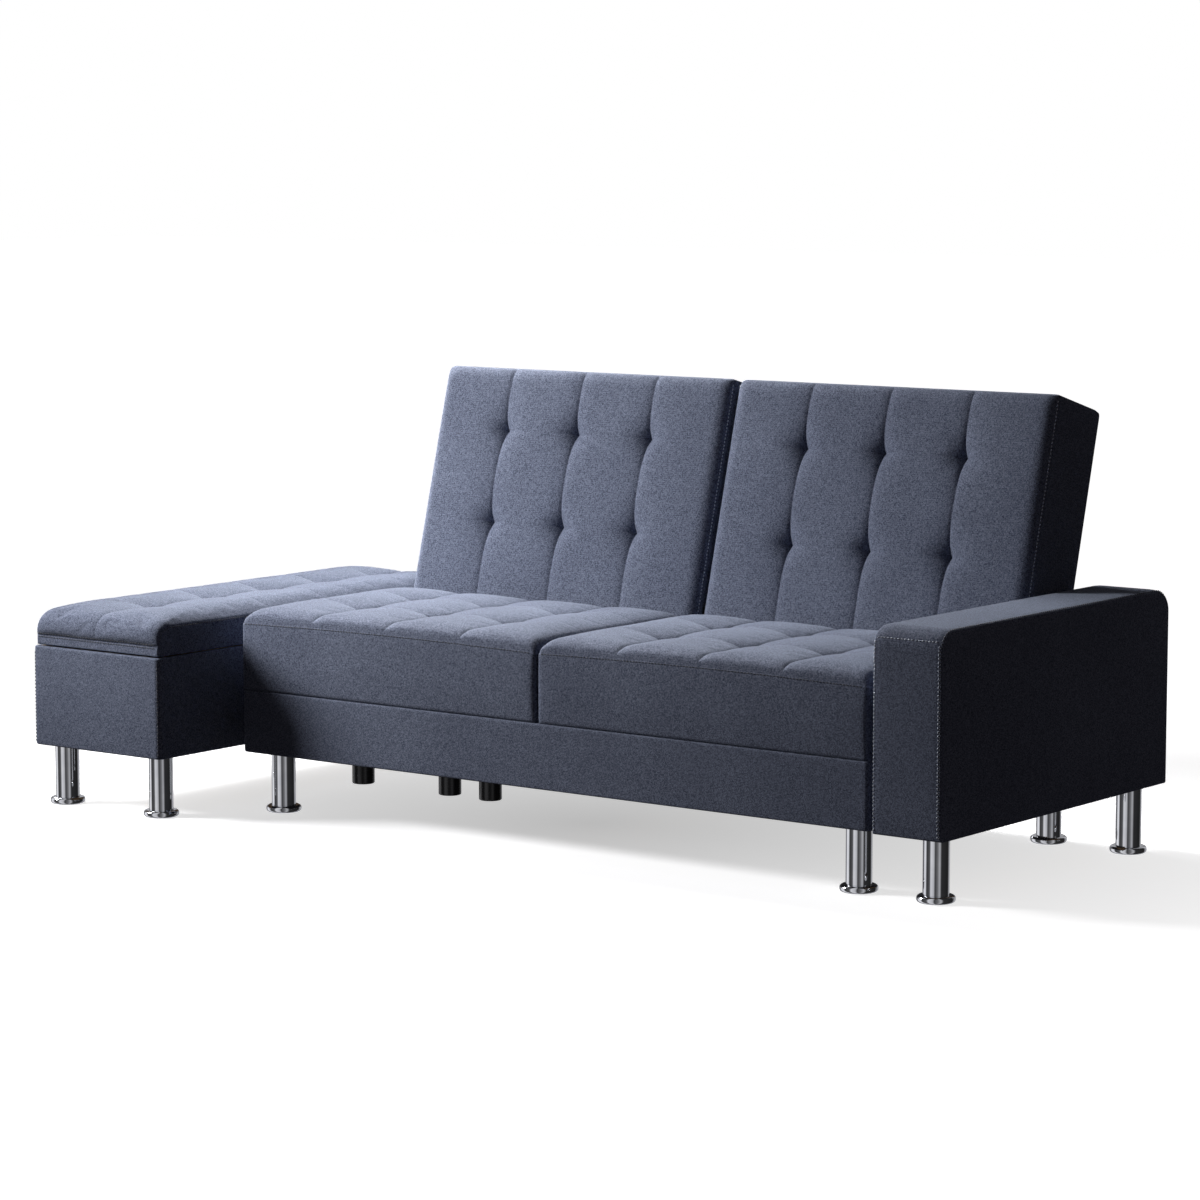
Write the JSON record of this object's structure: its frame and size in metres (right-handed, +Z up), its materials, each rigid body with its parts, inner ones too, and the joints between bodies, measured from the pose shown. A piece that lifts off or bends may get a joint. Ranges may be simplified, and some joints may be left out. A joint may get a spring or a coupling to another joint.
{
  "type": "futon sofa bed",
  "caption": "Armed click-clack futon sofa bed with tufted split backs that recline flat, on chromed tube legs, beside a long padded storage bench with a hinged lid.",
  "frame": {"origin": "on the floor, under the middle of the whole footprint at rest", "axes": "+X along the sofa to its arm, which is the right-hand end for someone who faces it; +Y from the front to the back; +Z up"},
  "size_m": [2.1446, 1.0255, 0.8958],
  "materials": {
    "upholstery": "slate blue-grey plain weave, linen-like, slightly heathered",
    "lining": "black non-woven lining",
    "wood": "raw pine and plywood, unfinished",
    "chrome_legs": "mirror chrome plate",
    "black_plastic": "glossy black moulded plastic",
    "black_steel": "black powder-coated steel",
    "zinc_steel": "bright zinc-plated steel"
  },
  "bodies": {
    "base": {"arm_base_board": "wood", "arm_cover": "upholstery", "arm_cross_boards": "wood", "arm_leg_front": "chrome_legs", "arm_leg_rear": "chrome_legs", "arm_side_boards": "wood", "arm_spacers": "black_steel", "base_cover": "upholstery", "bracket_screws": "zinc_steel", "centre_beam": "wood", "corner_blocks": "wood", "cross_beams": "wood", "dust_cover": "lining", "front_rail": "wood", "hinge_brackets": "black_steel", "left_rail": "wood", "rear_rail": "wood", "right_rail": "wood", "seat_cushion_left": "upholstery", "seat_cushion_right": "upholstery", "seat_deck_left": "wood", "seat_deck_right": "wood", "sofa_feet": "chrome_legs", "sofa_leg_front_left": "chrome_legs", "sofa_leg_front_right": "chrome_legs", "sofa_leg_rear_left": "chrome_legs", "sofa_leg_rear_right": "chrome_legs", "support_legs": "black_plastic"},
    "back_left": {"back_cushion_left": "upholstery", "back_panel_left": "lining", "back_rails_left": "wood", "back_springs_left": "black_steel", "back_stiles_left": "wood", "hinge_arms_left": "black_steel", "hinge_bolts_left": "zinc_steel", "hinge_pins_left": "zinc_steel"},
    "back_right": {"back_cushion_right": "upholstery", "back_panel_right": "lining", "back_rails_right": "wood", "back_springs_right": "black_steel", "back_stiles_right": "wood", "hinge_arms_right": "black_steel", "hinge_bolts_right": "zinc_steel", "hinge_pins_right": "zinc_steel"},
    "bench": {"bench_cover": "upholstery", "bench_end_walls": "wood", "bench_feet": "chrome_legs", "bench_floor": "wood", "bench_left_wall": "wood", "bench_leg_front_left": "chrome_legs", "bench_leg_front_right": "chrome_legs", "bench_leg_rear_left": "chrome_legs", "bench_leg_rear_right": "chrome_legs", "bench_right_wall": "wood", "lid_hinge_fixed_leaves": "zinc_steel"},
    "bench_lid": {"lid_cushion": "upholstery", "lid_board": "wood", "lid_hinge_lid_leaves": "zinc_steel", "lid_hinge_pins": "zinc_steel"}
  },
  "joints": [
    {"name": "back_left_recline", "type": "hinge", "parent": "base", "child": "back_left", "pos_m": [-0.26975, 0.26309, 0.36], "axis": [-1, 0, 0], "range_deg": [-12, 75]},
    {"name": "back_right_recline", "type": "hinge", "parent": "base", "child": "back_right", "pos_m": [0.50525, 0.26309, 0.36], "axis": [-1, 0, 0], "range_deg": [-12, 75]},
    {"name": "bench_slide", "type": "slide", "parent": "base", "child": "bench", "axis": [-1, 0, 0], "range_m": [0, 0.5]},
    {"name": "bench_lid_hinge", "type": "hinge", "parent": "bench", "child": "bench_lid", "pos_m": [-1.06625, -0.00241, 0.3365], "axis": [0, -1, 0], "range_deg": [0, 90]}
  ]
}
